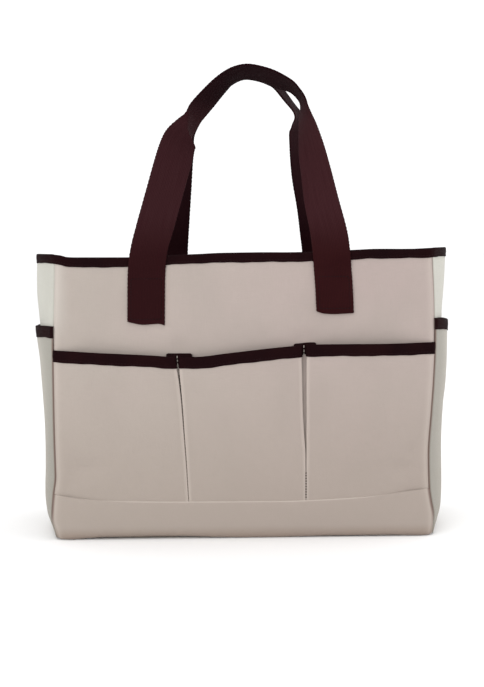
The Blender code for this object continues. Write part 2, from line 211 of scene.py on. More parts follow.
def mark(obj, name, grid):
    """Give both faces of a shell a number a point, for its material."""
    attribute = obj.data.attributes.new(name, "FLOAT", "POINT")
    attribute.data.foreach_set("value", np.concatenate((grid.ravel(), grid.ravel())))


def shell(name, middle, thickness, material, ring=False, pale_edge=None):
    """A sheet of cloth with real thickness around a grid of middle points.

    Its upright edges are marked as seams, and the last argument (0 to 1 a point) says where its colour is
    painted paler: painted highlights along rolled and folded edges, and paler edges at the pockets' slits.
    """
    rows, columns = middle.shape[:2]
    push = grid_normals(middle, ring) * (thickness / 2)
    points = np.concatenate(((middle + push).reshape(-1, 3), (middle - push).reshape(-1, 3)))
    outer = np.arange(rows * columns).reshape(rows, columns)
    inner = outer + rows * columns
    faces = [strips(outer[r], outer[r + 1], ring) for r in range(rows - 1)]
    faces += [strips(inner[r + 1], inner[r], ring) for r in range(rows - 1)]
    faces += [strips(inner[0], outer[0], ring), strips(outer[-1], inner[-1], ring)]
    if not ring:
        faces += [strips(outer[:, 0], inner[:, 0], False), strips(inner[:, -1], outer[:, -1], False)]
    u = run_lengths(middle[rows // 2])
    v = run_lengths(middle[:, columns // 2])
    uv = np.stack(np.meshgrid(u, v), axis=-1).reshape(-1, 2)
    obj = make_object(name, points, np.concatenate(faces), np.concatenate((uv, uv)), material)
    edge = np.minimum(u, u[-1] - u) / MM
    seam = np.zeros(columns) if ring else 1.0 - smooth((edge - 0.6) / 1.7)
    mark(obj, "seam", np.repeat(seam[None], rows, axis=0))
    mark(obj, "pale_edge", np.zeros((rows, columns)) if pale_edge is None else pale_edge)
    return obj


def finish_piece(obj, slot, nodes=()):
    """Let a piece ride on the bag and hide the CAD nodes it stands for; slot is not used."""
    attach(obj, "bag")
    if nodes:
        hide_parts(*nodes)
    return obj


# --- the bag's surfaces

def seam_half_width(side, z):
    """Distance of the front side seam from the middle: side is -1 for the left and 1 for the right."""
    return through(LEFT_SEAM if side < 0 else RIGHT_SEAM, z)


# Soft dents of the front: (x, height, half width, half height, depth)
FRONT_DENTS = ((-168, 76, 24, 10, 2.6), (172, 72, 24, 9, 2.6), (182, 90, 9, 8, 2.2), (-184, 60, 8, 7, 2.0),
               (-66, 197, 15, 13, 3.0), (64, 208, 14, 11, 2.4), (-150, 236, 30, 26, 0.9),
               (20, 246, 40, 30, 1.2), (150, 262, 30, 22, 1.2), (-98, 224, 26, 10, 0.7),
               (96, 231, 26, 10, 0.7), (-188, 262, 10, 40, -0.8), (-20, 110, 45, 40, 0.8),
               (130, 120, 40, 50, 0.7))


def front_wave(x, z):
    """How far the front stands out of its flat plane: soft waves that die out at the seams and the floor."""
    fade = smooth((HALF_WIDTH - np.abs(x)) / 26) * smooth(z / 30)
    broad = (0.9 * np.sin(x / 58 + 0.6) * np.sin(z / 71 + 0.5)
             + 0.55 * np.sin(x / 31 - 1.3 + z / 95) * np.sin(z / 43 + 1.1)
             + 0.30 * np.sin(x / 17 + z / 24 + 2.0) * np.sin(z / 19 - x / 60))
    dents = sum(dent(x, z, place) for place in FRONT_DENTS)
    return fade * (broad - dents)


def back_wave(x, z):
    """The same for the back panel."""
    fade = smooth((HALF_WIDTH - np.abs(x)) / 34) * smooth(z / 30)
    return fade * (1.1 * np.sin(x / 64 - 0.9) * np.sin(z / 66 + 0.8)
                   + 0.6 * np.sin(x / 29 + 0.4 - z / 88) * np.sin(z / 47)
                   + 0.35 * np.sin(x / 18 - z / 22) * np.sin(z / 21 + x / 70))


def side_wave(y, z, side):
    """The same for the sides, with a faint upright crease where the gusset folds."""
    fade = smooth((HALF_DEPTH - np.abs(y)) / 22) * smooth(z / 25)
    crease = 1.1 * np.exp(-((y + 4) / 7.0) ** 2) * smooth((z - 90) / 150)
    broad = 0.8 * np.sin(z / 41 + side) * np.sin(y / 24 + 0.7 * side)
    return fade * (broad + 0.4 * np.sin(z / 19 + y / 26) - crease)


def seam_roll(distance_to_seam, radius):
    """How far a layer has turned in at a distance from its seam."""
    t = np.clip(radius - distance_to_seam, 0.0, radius * 0.998)
    return radius - np.sqrt(radius ** 2 - t ** 2)


def shoulder_places(half, radius, step):
    """Places from -half to half, evenly spaced but crowded where the sheet turns in at its two ends."""
    flat = half - radius
    count = int(round(2 * flat / step))
    turn = flat + radius * np.sin(np.radians((18, 36, 54, 70, 82)))
    return np.concatenate((-turn[::-1], np.linspace(-flat, flat, count + 1), turn))


def front_point(x, z, offset):
    """A point of a front layer: nominal x, height, and how far it is outside the wall's outer plane."""
    x, z, offset = np.broadcast_arrays(np.asarray(x, float), z, offset)
    side = np.where(x < 0, -1, 1)
    seam = np.where(x < 0, through(LEFT_SEAM, z), through(RIGHT_SEAM, z))
    shifted = x + side * (seam - HALF_WIDTH) * smooth((np.abs(x) - 90) / (HALF_WIDTH - 90))
    roll = seam_roll(HALF_WIDTH - np.abs(x), SHOULDER)
    soft = CORNER_SOFT * smooth((z - 225) / 50) * smooth((-x - 182) / 14) ** 2
    return np.stack((shifted, -(HALF_DEPTH + offset + front_wave(x, z)) + roll + soft, z), axis=-1)


def back_point(x, z, offset):
    """The same for the back."""
    x, z, offset = np.broadcast_arrays(np.asarray(x, float), z, offset)
    roll = seam_roll(HALF_WIDTH - np.abs(x), SHOULDER)
    return np.stack((x, HALF_DEPTH + offset + back_wave(x, z) - roll, z), axis=-1)


def side_point(side, y, z, out, half, offset):
    """A point of a side layer, whose cloth is out from the middle plane at y = 0 and ends at y = +-half."""
    y, z = np.broadcast_arrays(np.asarray(y, float), np.asarray(z, float))
    back = lerp(seam_half_width(side, z), HALF_WIDTH, (y + HALF_DEPTH) / (2 * HALF_DEPTH))
    middle = lerp(seam_half_width(side, z), HALF_WIDTH, 0.5)
    bow = (through(out[side], z) - middle) * (1.0 - (y / HALF_DEPTH) ** 2)
    roll = seam_roll(half - np.abs(y), SIDE_SHOULDER)
    x = back + bow + offset - roll + side_wave(y, z, side)
    soft = 0.0 if side > 0 else CORNER_SOFT * smooth((z - 225) / 50) * smooth((-y - 45) / 28)
    return np.stack((side * x, y + soft, z), axis=-1)


def side_rim(side, y):
    """Rim height of a gusset, from the front seam's height to the back's."""
    front = through(FRONT_RIM, side * HALF_WIDTH) + (0.6 if side < 0 else 0.3)
    share = (y + HALF_DEPTH) / (2 * HALF_DEPTH)
    arch = (2.2 if side < 0 else 1.0) * np.sin(share * math.pi)
    return lerp(front, through(BACK_RIM, side * HALF_WIDTH), share) + arch


def grid_of(places, heights, point):
    """Grid of points: heights(place) gives each column's bottom and top, point(place, z) its points."""
    columns = []
    for place in places:
        low, high, rows = heights(place)
        columns.append(point(place, np.linspace(low, high, rows)))
    return np.stack(columns, axis=1)


ROW_STEP = 2.6


def rows_for(height):
    return int(round(height / ROW_STEP)) + 1


# --- walls

def seam_edge_highlight(x):
    """How far a front layer is painted paler there: a painted highlight where it rolls into its two side
    seams.
    """
    return 0.42 * np.exp(-((HALF_WIDTH - np.abs(x) - 3.9) / 1.9) ** 2)


def build_walls(looks):
    """The front and back panels and the two gussets."""
    rows = rows_for(RIM_TOP - WALL_FOOT)
    places = shoulder_places(HALF_WIDTH, SHOULDER, 2.8)
    front = grid_of(places, lambda x: (WALL_FOOT, through(FRONT_RIM, x) - TAPE - RIM_GAP, rows),
                    lambda x, z: front_point(x, z, SINK))
    pale_edge = np.repeat(seam_edge_highlight(places)[None], rows, axis=0)
    panel = shell("front_panel_cloth", front, CANVAS, looks["canvas"], pale_edge=pale_edge)
    finish_piece(panel, "canvas", ["front_panel"])
    back = grid_of(-places, lambda x: (WALL_FOOT, through(BACK_RIM, x) - TAPE - RIM_GAP, rows),
                   lambda x, z: back_point(x, z, SINK))
    finish_piece(shell("back_panel_cloth", back, CANVAS, looks["canvas"]), "canvas", ["back_panel"])
    depths = shoulder_places(GUSSET_HALF, SIDE_SHOULDER, 2.8)
    for word, side in (("left", -1), ("right", 1)):
        gusset = grid_of(depths * side, lambda y: (WALL_FOOT, side_rim(side, y) - TAPE - RIM_GAP, rows),
                         lambda y, z: side_point(side, y, z, GUSSET_OUT, GUSSET_HALF, SINK))
        finish_piece(shell(f"{word}_gusset_cloth", gusset, CANVAS, looks["side_canvas"]), "side_canvas",
                     [f"{word}_gusset"])


def rim_line():
    """Points of the middle of the wall's top edge, once round from the back right corner."""
    turn = np.array((190.0, 192.0, 193.6, 194.9))
    xs = np.concatenate((-turn[::-1], np.arange(-188.0, 189.0, 2.0), turn))
    ys = np.arange(-70.5, 71.0, 1.5)
    back = back_point(-xs, through(BACK_RIM, -xs) - RIM_TAPE / 2, SINK)
    left = side_point(-1, -ys, side_rim(-1, -ys) - RIM_TAPE / 2, GUSSET_OUT, GUSSET_HALF, SINK)
    front = front_point(xs, through(FRONT_RIM, xs) - RIM_TAPE / 2, SINK)
    right = side_point(1, ys, side_rim(1, ys) - RIM_TAPE / 2, GUSSET_OUT, GUSSET_HALF, SINK)
    line = np.concatenate((back, left, front, right))
    line[:, 2] += RIM_TAPE / 2
    return line


def resample(line, step, rounds, ring):
    """Even points along a line, smoothed rounds times."""
    if ring:
        line = np.concatenate((line, line[:1]))
    length = np.concatenate(([0.0], np.cumsum(np.linalg.norm(np.diff(line, axis=0), axis=1))))
    count = int(length[-1] / step)
    places = np.linspace(0.0, length[-1], count + 1)
    even = np.stack([np.interp(places, length, line[:, k]) for k in range(3)], axis=1)
    if ring:
        even = even[:-1]
    for _ in range(rounds):
        if ring:
            even = (np.roll(even, 1, axis=0) + 2 * even + np.roll(even, -1, axis=0)) / 4
        else:
            even[1:-1] = (even[:-2] + 2 * even[1:-1] + even[2:]) / 4
    return even


def side_normals(line, ring):
    """Level unit vectors to the right of the way a line runs."""
    run = slope_along(line, 0, ring)
    return unit(np.stack((run[:, 1], -run[:, 0], np.zeros(len(run))), axis=1))


def folded_tape_grid(lines_at, height, reach, ring):
    """Grid of a tape folded over an edge. lines_at(drop) gives the edge's line that far below its top.

    The outer leg runs down the outside and the inner one down the inside. Both are drawn in along their
    row of stitches, and their free edges waver a little.
    """
    run_length = run_lengths(lines_at(0.0))
    stitch = height - TAPE_STITCH
    turn = np.radians((0, 30, 60, 90))
    drops = [height, height - 0.6, height - 1.6, stitch, height - 3.4, height * 0.45, 2.4]
    section = [(1.0, drop) for drop in drops]
    section += [(side, reach - lift) for side, lift in zip(np.cos(turn), reach * np.sin(turn))]
    section += [(-side, drop) for side, drop in section[-2::-1]]
    grid = []
    for side, drop in section:
        line = lines_at(drop)
        waver = 0.22 * np.sin(run_length * 130 + side * 2) + 0.16 * np.sin(run_length * 310 + side)
        line[:, 2] += np.where(drop > height - 1.0, waver, 0.0)
        pinch = 0.25 * math.exp(-((drop - stitch) / 0.9) ** 2)
        puff = 0.16 * math.exp(-((drop - height * 0.45) / 2.2) ** 2)
        grid.append(line + side_normals(line, ring) * side * (reach - pinch + puff))
    return np.stack(grid, axis=0)


def bind_edge(name, lines_at, height, reach, node, looks, ring=False):
    """Fold a tape over an edge. Returns its stitch row's middle line, normals and distance out."""
    grid = folded_tape_grid(lines_at, height, reach, ring)
    finish_piece(shell(name, grid, TAPE, looks["tape"], ring=ring), "tape", [node])
    row = lines_at(height - TAPE_STITCH)
    return row, side_normals(row, ring), reach + TAPE / 2 - 0.25


def build_rim_tape(looks):
    """The tape folded over the whole rim, and the two faces of its stitching."""
    line = resample(rim_line(), 1.6, 1, True)
    reach = CANVAS / 2 + TAPE / 2 + 0.16

    def at(drop):
        lowered = line.copy()
        lowered[:, 2] -= drop
        return lowered

    row, normal, lift = bind_edge("rim_tape", at, RIM_TAPE, reach, "rim_binding", looks, ring=True)
    for word, facing in (("outer", normal), ("inner", -normal)):
        stitches(f"rim_stitches_{word}", row + facing * lift, facing, looks, ring=True)


# --- stitches

def stitches(name, line, normals, looks, slot="dark_thread", nodes=(), pitch=3.1, fill=0.72, radius=THREAD,
             ring=False):
    """A row of stitches along a line on a surface: short rounded threads whose ends dive into the cloth."""
    if ring:
        line = np.concatenate((line, line[:1]))
        normals = np.concatenate((normals, normals[:1]))
    length = run_lengths(line) / MM
    count = max(1, int(length[-1] / pitch))
    pitch = length[-1] / count
    shape = np.array((-0.5, -0.42, -0.22, 0.0, 0.22, 0.42, 0.5))
    girth = np.array((0.25, 0.75, 1.0, 1.0, 1.0, 0.75, 0.25)) * radius
    sink = np.array((-0.9, -0.3, 0.0, 0.05, 0.0, -0.3, -0.9)) * radius
    turns = np.arange(6) * math.pi / 3
    points, faces, uv = [], [], []
    for k in range(count):
        places = (k + 0.5 + shape * fill) * pitch
        centre = np.stack([np.interp(places, length, line[:, c]) for c in range(3)], axis=1)
        normal = unit(np.stack([np.interp(places, length, normals[:, c]) for c in range(3)], axis=1))
        run = unit(np.gradient(centre, axis=0))
        beside = unit(np.cross(run, normal))
        centre = centre + normal * sink[:, None]
        ring_points = (centre[:, None] + girth[:, None, None] * (
            np.cos(turns)[None, :, None] * beside[:, None] + np.sin(turns)[None, :, None] * normal[:, None]))
        start = len(points) * ring_points.shape[0] * 6
        numbers = start + np.arange(ring_points.shape[0] * 6).reshape(-1, 6)
        for r in range(len(shape) - 1):
            faces += strips(numbers[r], numbers[r + 1], True)[:, ::-1].tolist()
        faces += [numbers[0].tolist(), numbers[-1][::-1].tolist()]
        points.append(ring_points.reshape(-1, 3))
        u = np.repeat(places * MM, 6)
        uv.append(np.stack((u, np.tile(turns / math.tau * 0.002, len(shape))), axis=1))
    obj = make_object(name, np.concatenate(points), faces, np.concatenate(uv), looks[slot])
    return finish_piece(obj, slot, nodes)


# --- base

def build_base(looks):
    """The inner bottom cloth and the outer base cloth, turned up at the front and the back."""
    half = HALF_DEPTH - 1.6
    low = cad_mm("bottom_panel")[0][2]
    depths = np.linspace(-half, half, 50)
    rows = []
    for y in depths:
        reach = lerp(HALF_WIDTH - 2.0, 206.0, 1.0 - (y / HALF_DEPTH) ** 2)
        x = np.linspace(-reach, reach, 120)
        puff = 0.5 * np.sin(x / 37 + 0.4) * np.sin(y / 21) + 0.3 * np.sin(x / 15 - y / 12)
        z = low + CANVAS / 2 + 0.6 + puff * smooth((half - abs(y)) / 12)
        rows.append(np.stack((x, np.full_like(x, y), z), axis=1))
    finish_piece(shell("bottom_cloth", np.stack(rows), CANVAS, looks["canvas"]), "canvas", ["bottom_panel"])
    build_base_wrap(looks)


# How far the base's lower edge stands off the floor along the front: it touches near the corners
FRONT_LIFT = ((-196, 2.4), (-192, 0.7), (-184, 0.0), (-165, 1.1), (-145, 2.3), (-85, 3.0), (-54, 2.0),
              (-25, 0.6), (5, 0.0), (30, 0.0), (55, 0.2), (80, 0.8), (150, 0.9), (184, 0.0), (192, 0.6),
              (196, 2.0))
BACK_LIFT = ((-196, 2.0), (-184, 0.0), (-60, 1.8), (70, 1.1), (184, 0.0), (196, 2.0))
BAND_OFFSET = 4.0            # from the wall's outer plane to the middle of the base band's cloth
BASE_TURN = 5.0              # radius between the band and the floor
FOLD_DEPTH = 9.0             # how far the band's top edge is folded in behind it


def band_section(x):
    """Section of the base cloth at x as (outward, height) pairs: folded top, band and turn under."""
    top = float(through(BAND_TOP, x))
    fold = 1.0
    inner = BAND_OFFSET - 2 * fold
    up = [(inner, top - FOLD_DEPTH), (inner, top - 6.0), (inner, top - 3.0)]
    over = [(inner + fold - fold * math.cos(a), top - fold + fold * math.sin(a))
            for a in np.radians((0, 30, 60, 90, 120, 150, 180))]
    low = BASE_TURN + CANVAS / 2
    down = [(BAND_OFFSET + 0.35 * math.sin(share * math.pi), lerp(top - 2.0, low, share))
            for share in np.linspace(0.08, 1.0, 13)]
    turn = [(BAND_OFFSET - BASE_TURN * (1 - math.cos(a)), low - BASE_TURN * math.sin(a))
            for a in np.radians((15, 30, 45, 60, 75, 90))]
    return up + over + down + turn


def build_base_wrap(looks):
    """One cloth from the front band's fold, under the bag, to the back band's fold."""
    places = shoulder_places(HALF_WIDTH, SHOULDER, 3.2)
    floor_z = CANVAS / 2 + 0.05
    columns = []
    for x in places:
        section = np.array(band_section(x))
        edge = abs(x) / HALF_WIDTH
        tuck = 3.0 * smooth((edge - 0.93) / 0.07)
        offset = section[:, 0] - tuck * (section[:, 0] - 0.4) / 5.0
        height = section[:, 1]
        low_down = np.clip(1.0 - height / 16.0, 0.0, 1.0)
        front_lift = float(through(FRONT_LIFT, x))
        back_lift = float(through(BACK_LIFT, x))
        front = front_point(x, height + front_lift * low_down, offset)
        back = back_point(x, height + back_lift * low_down, offset)[::-1]
        share = np.linspace(0.0, 1.0, 44)[1:-1]
        y = lerp(front[-1, 1], back[0, 1], share)
        bow = np.maximum(0.0, 1.0 - (y / HALF_DEPTH) ** 2)
        widening = 1 + 10.5 / HALF_WIDTH * bow * smooth((edge - 0.4) / 0.6)
        reach = lerp(front[-1, 0], back[0, 0], share) * widening
        rise = 2.6 * smooth((edge - 0.965) / 0.035) * bow
        wave = 0.25 * np.sin(x / 31 + y / 23) ** 2
        lift = front_lift * smooth((-y - 48) / 22) ** 0.7 + back_lift * smooth((y - 48) / 22) ** 0.7
        floor = np.stack((reach, y, floor_z + rise + wave + lift * 0.97), axis=1)
        columns.append(np.concatenate((front, floor, back)))
    grid = np.stack(columns, axis=1)[::-1]
    fold = np.zeros(grid.shape[:2])
    # Painted highlight along the band's folded top edge, where the fold catches the light from above.
    fold[7:9] = fold[-9:-7] = 0.7 * smooth((156 - np.abs(places)) / 45)
    pale_edge = fold + seam_edge_highlight(places)[None]
    wrap = shell("base_wrap_cloth", grid[:, ::-1], CANVAS, looks["canvas"], pale_edge=pale_edge)
    finish_piece(wrap, "canvas", ["base_wrap"])


# --- front pockets

STRIP_FOOT_DROP = 8.0        # the pocket strip's foot is this far below the band's fold, behind it


def layer_pitch(z):
    """Distance between the layers of a pleat: pressed flat at the foot, opened by the tape at the mouth."""
    return np.interp(z, (40, 60, 110, 175, 190), (1.15, 1.3, 1.8, 2.3, 2.7))


def layer_base(z):
    """Offset of the lowest layer from the wall."""
    return np.interp(z, (40, 60, 150, 190), (0.62, 0.7, 1.0, 1.55))


def pleat_columns():
    """Columns of one pleat, left to right along the cloth: (kind, side, share of the way, layer) tuples."""
    turn = np.radians((0, 30, 60, 90, 120, 150, 180))
    columns = []
    for a in turn:                              # the left pocket's front edge
        columns.append(("slit", -1, math.sin(a), 2 - (1 - math.cos(a)) / 2))
    for share in (0.25, 0.5, 0.75):
        columns.append(("middle", -1, share, 1.0))
    for a in turn:                              # the fold behind the left pocket
        columns.append(("fold", -1, math.sin(a), 1 - (1 - math.cos(a)) / 2))
    for share in np.linspace(0.1, 0.9, 9):
        columns.append(("back", 0, share, 0.0))
    for kind, _, share, layer in columns[:17][::-1]:
        columns.append((kind, 1, 1 - share if kind == "middle" else share, layer))
    return columns


def pleat_x(column, number, z):
    """x of a pleat's column at heights z."""
    kind, side, share, _ = column
    radius = layer_pitch(z) / 2
    slit = through(SLITS[number], z)
    middle = through(DIVIDERS[number], z)
    near = slit + radius
    left, right = PLEATS[number]
    far = (left if side < 0 else right) - radius
    if kind == "slit":
        return middle + side * (near - radius * share)
    if kind == "fold":
        return middle + side * (far + radius * share)
    if kind == "middle":
        reach = lerp(near, far, share if side < 0 else 1 - share)
        return middle + side * reach
    return middle + lerp(radius - left, right - radius, share)


def pocket_edge(number, side, z):
    """Nominal x where the pocket's flat front meets a pleat."""
    return through(DIVIDERS[number], z) + side * (through(SLITS[number], z) + layer_pitch(z) / 2)


def pocket_bulge(pocket, share, z):
    """How far a pocket's front stands out, on top of the layers at its ends."""
    rise = np.interp(z, (40, 48, 90, 150, 200), (0.0, 0.3, 2.0, 3.2, 3.4))
    arch = np.sin(np.pi * share) ** 0.7
    wave = (0.5 * np.sin(share * 5.1 + pocket * 2.3 + z / 52) * np.sin(z / 37 + pocket)
            + 0.25 * np.sin(share * 11 - z / 21 + pocket)) * np.sin(np.pi * share)
    return arch * rise + wave * smooth((z - 40) / 30)


def strip_columns():
    """Every column of the pocket strip, from the left seam to the right one: (kind, ...) tuples."""
    angles = (82, 70, 54, 36, 18)
    columns = [("seam", -1, angle) for angle in angles]
    for pocket in range(3):
        first = 0 if pocket == 0 else 1
        last = 46 if pocket == 2 else 45
        columns += [("pocket", pocket, share) for share in np.linspace(0.0, 1.0, 46)[first:last]]
        if pocket < 2:
            columns += [("pleat", pocket, column) for column in pleat_columns()]
    return columns + [("seam", 1, angle) for angle in angles[::-1]]


def strip_place(column, z):
    """Nominal x and offset of a strip column at heights z, and how much its mouth is lifted."""
    kind, number, detail = column
    seam = layer_base(z) + 0.1
    front = layer_base(z) + 2 * layer_pitch(z)
    if kind == "seam":
        turn = math.radians(detail)
        return number * (HALF_WIDTH - SHOULDER + SHOULDER * math.sin(turn)) + 0 * z, seam, 0.0
    if kind == "pleat":
        layer = detail[3]
        lift = MOUTH_LIFT[number] * (1 - layer / 2)
        return pleat_x(detail, number, z), layer_base(z) + layer * layer_pitch(z), lift
    start = -(HALF_WIDTH - SHOULDER) + 0 * z if number == 0 else pocket_edge(number - 1, 1, z)
    end = HALF_WIDTH - SHOULDER + 0 * z if number == 2 else pocket_edge(number, -1, z)
    left = smooth(detail / 0.42) if number == 0 else 1.0
    right = smooth((1 - detail) / 0.42) if number == 2 else 1.0
    level = front if number == 1 else lerp(seam, front, left * right)
    return lerp(start, end, detail), level + pocket_bulge(number, detail, z), 0.0


def strip_points(column, z):
    x, offset, _ = strip_place(column, z)
    return front_point(x, z, offset)


def mouth_height(column):
    """Height of the strip's mouth at a column."""
    x, _, lift = strip_place(column, np.array([192.0]))
    return float(through(MOUTH, x[0])) + lift


def strip_foot(column):
    x, _, _ = strip_place(column, np.array([42.0]))
    return float(through(BAND_TOP, x[0])) - STRIP_FOOT_DROP


def slit_pale(column):
    """How far the strip is painted paler there: along the pockets' edges at the two slits."""
    kind, _, detail = column
    return 0.45 if kind == "pleat" and detail[0] == "slit" and detail[3] > 1.2 else 0.0


def build_front_pockets(looks):
    """The pleated pocket strip, the tape folded over its mouth, their stitches and the dividers' thread."""
    columns = strip_columns()
    rows = rows_for(160)
    tops = np.array([mouth_height(column) for column in columns])
    cloth = grid_of(range(len(columns)), lambda k: (strip_foot(columns[k]), tops[k] - TAPE - MOUTH_GAP, rows),
                    lambda k, z: strip_points(columns[k], z))
    middle_x = np.array([strip_place(column, np.array([100.0]))[0][0] for column in columns])
    pale_edge = np.array([slit_pale(column) for column in columns]) + seam_edge_highlight(middle_x)
    pale_edge = np.repeat(pale_edge[None], rows, axis=0)
    strip = shell("front_pocket_cloth", cloth, POCKET_STRIP, looks["canvas"], pale_edge=pale_edge)
    finish_piece(strip, "canvas", ["front_pocket_panel"])

    def at(drop):
        lowered = [strip_points(column, np.array([top - drop])) for column, top in zip(columns, tops)]
        return np.concatenate(lowered)

    reach = POCKET_STRIP / 2 + TAPE / 2 + 0.05
    row, normal, lift = bind_edge("front_pocket_tape", at, POCKET_TAPE, reach, "front_pocket_binding", looks)
    for pocket in range(3):
        numbers = [k for k, column in enumerate(columns) if column[:2] == ("pocket", pocket)]
        line = (row + normal * lift)[numbers]
        stitches(f"front_pocket_stitches_{pocket + 1}", line, normal[numbers], looks)
    build_divider_stitches(looks)


# Threads seen in the slits: divider, from and to (height, 0 is the top or the band), slot, share filled, and
# how many layers up they lie
# The dark rows low in the slits are stitches drawn dark as painted shade of the narrow slits.
DIVIDER_THREADS = ((0, 0, 174, "thread", 0.72, 0.0), (0, 173, 0, "dark_thread", 0.93, 0.0),
                   (1, 0, 190, "thread", 0.72, 0.0), (1, 70, 0, "dark_thread", 0.55, 1.95))


def build_divider_stitches(looks):
    """The rows that sew each pleat's back layer to the wall, as far as the slits show them."""
    for count, (number, start, end, slot, fill, layers) in enumerate(DIVIDER_THREADS):
        top = float(through(MOUTH, DIVIDERS[number][-1][1])) + MOUTH_LIFT[number] - 1.5
        foot = float(through(BAND_TOP, DIVIDERS[number][0][1])) + 2.0
        z = np.linspace(start or top, end or foot, 60)
        thick = np.where(z > top - POCKET_TAPE, POCKET_STRIP / 2 + TAPE + 0.15, 0.6)
        line = front_point(through(DIVIDERS[number], z), z, layer_base(z) + thick + layers * layer_pitch(z))
        normals = np.tile((0.0, -1.0, 0.0), (len(z), 1))
        node = f"divider_stitch_{number + 1}"
        stitches(f"divider_stitches_{count + 1}", line, normals, looks, slot, [node],
                 pitch=2.7 if layers else 3.4, fill=fill, radius=0.48)


# --- side pockets

def build_side_pockets(looks):
    """A pocket on each gusset, the tape over its mouth and its stitches."""
    half = HALF_DEPTH - 1.2
    tape_height = SIDE_MOUTH - cad_mm("left_pocket_binding")[0][2] + 0.4
    for word, side in (("left", -1), ("right", 1)):
        depths = shoulder_places(half, SIDE_SHOULDER, 2.8) * side
        rise, forward = (6.0, -0.8) if side > 0 else (3.1, -1.9)
        tops = SIDE_MOUTH + forward + rise * smooth(-depths / 72)

        def place(y, z, side=side):
            return side_point(side, y, z, POCKET_OUT, half, SINK + 1.9 * (np.abs(y) / HALF_DEPTH) ** 6)

        ends = zip(depths, tops - TAPE - MOUTH_GAP)
        columns = [place(y, np.linspace(WALL_FOOT, end, 82)) for y, end in ends]
        cloth = np.stack(columns, axis=1)
        finish_piece(shell(f"{word}_pocket_cloth", cloth, CANVAS, looks["pocket_canvas"]), "side_canvas",
                     [f"{word}_pocket_panel"])

        def at(drop, side=side, tops=tops, depths=depths, place=place):
            return place(depths, tops - drop, side)

        reach = CANVAS / 2 + TAPE / 2 + 0.05
        node = f"{word}_pocket_binding"
        row, normal, lift = bind_edge(f"{word}_pocket_tape", at, tape_height, reach, node, looks)
        stitches(f"{word}_pocket_stitches", row + normal * lift, normal, looks)


# --- handles

# Knots of a strap's middle line: x, height, twist in degrees. The first and last three are the sewn tabs.
FRONT_STRAP = ((-98.6, 225.4, 0), (-98.0, 250, 0), (-97.0, 280, 0), (-93.9, 303, 0), (-88.8, 322, 0),
               (-78.7, 359, 0), (-69.9, 391, 6), (-63.2, 413, 26), (-58.4, 426, 58), (-51.6, 435.2, 67),
               (-44.6, 445.6, 64), (-33.3, 458.6, 64.5), (-18.5, 474.4, 69), (-4.2, 485.6, 75.5),
               (9.1, 488.0, 74), (25.0, 484.8, 74), (40.3, 478.5, 73), (55.4, 471.6, 81),
               (64.0, 461.6, 86), (66.7, 453.5, 85), (67.2, 445.0, 79), (69.0, 434.0, 70),
               (70.9, 425.0, 63), (75.0, 401, 48), (78.4, 382, 41), (83.7, 350, 28), (90.0, 320, 18),
               (92.3, 303, 4), (93.8, 283, 0), (95.3, 262, 0), (96.4, 234.2, 0))
BACK_STRAP = ((-82.9, 228, 0), (-82.3, 250, 0), (-81.3, 280, 0), (-80.2, 303, 0), (-77.7, 332, 0),
              (-74.2, 370, 0), (-70.4, 408, 5), (-63.0, 430, 34), (-48.5, 447.3, 58), (-34.2, 462.5, 65),
              (-16.5, 479.3, 69), (0.0, 487.8, 72), (14.0, 489.2, 71), (28.0, 485.9, 71),
              (40.0, 479.2, 73), (52.0, 465.6, 74), (63.3, 450.5, 76), (65.3, 437.0, 64), (65.4, 424, 55),
              (73.2, 385, 34), (82.0, 345, 23), (89.2, 303, 4), (90.4, 280, 0), (91.8, 255, 0),
              (92.6, 231, 0))
LEAN_SLOPE = 0.305           # how far the webbing leans in over the bag for each millimetre of height
TAB_OFFSET = WEBBING / 2 + 0.12                  # a tab's middle from the wall's outer plane
RIM_STEP = TAPE + 0.35                           # how much further out the webbing passes the rim tape
# Where the front strap's crease crosses it, as heights of its middle: it starts at the inner edge
CREASE_START = 411.0
CREASE_END = 443.0


def catmull(knots, steps):
    """A smooth line through the knots (Catmull-Rom)."""
    knots = np.array(knots, float)
    knots = np.concatenate((2 * knots[:1] - knots[1:2], knots, 2 * knots[-1:] - knots[-2:-1]))
    points = []
    for k in range(1, len(knots) - 2):
        a, b, c, d = knots[k - 1:k + 3]
        t = np.arange(steps)[:, None] / steps
        points.append(0.5 * (2 * b + (c - a) * t + (2 * a - 5 * b + 4 * c - d) * t ** 2
                             + (3 * b - a - 3 * c + d) * t ** 3))
    return np.concatenate(points + [knots[-2:-1]])


def strap_depth(x, z):
    """How far the middle of a strap is outside the wall's outer plane: negative where it leans in."""
    step = RIM_STEP * smooth((z - (RIM_TOP - RIM_TAPE - 8)) / 6)
    above = z - (HINGE + 1.0)
    soft = 6.0
    ramp = np.where(above > soft, above, np.where(above < -soft, 0.0, (above + soft) ** 2 / (4 * soft)))
    wave = front_wave(x, np.minimum(z, RIM_TOP)) * (1 - smooth((z - HINGE) / 30))
    return TAB_OFFSET + step + wave - LEAN_SLOPE * ramp


def strap_frames(knots):
    """Middle points, run and twist of a strap, as it is at the front; the back one is mirrored afterwards."""
    line = resample(catmull(knots, 8), 1.8, 3, False)
    x, z, twist = line.T
    y = -(HALF_DEPTH + strap_depth(x, z))
    centre = np.stack((x, y, z), axis=1)
    run = np.gradient(centre, axis=0)
    level = smooth(np.abs(z - HINGE) / 26)
    run[:, 0] *= np.where(z < HINGE + 26, level * 0.6, 1.0)
    return centre, unit(run), twist


def across(run, twist):
    """Unit vector across the webbing to its inner edge, turned by twist degrees about its run."""
    facing = np.array((0.0, -1.0, 0.0)) - run * (-run[..., 1:2])
    facing = unit(facing)
    turn = np.radians(twist)[..., None]
    facing = facing * np.cos(turn) + np.cross(run, facing) * np.sin(turn)
    return np.cross(run, facing)


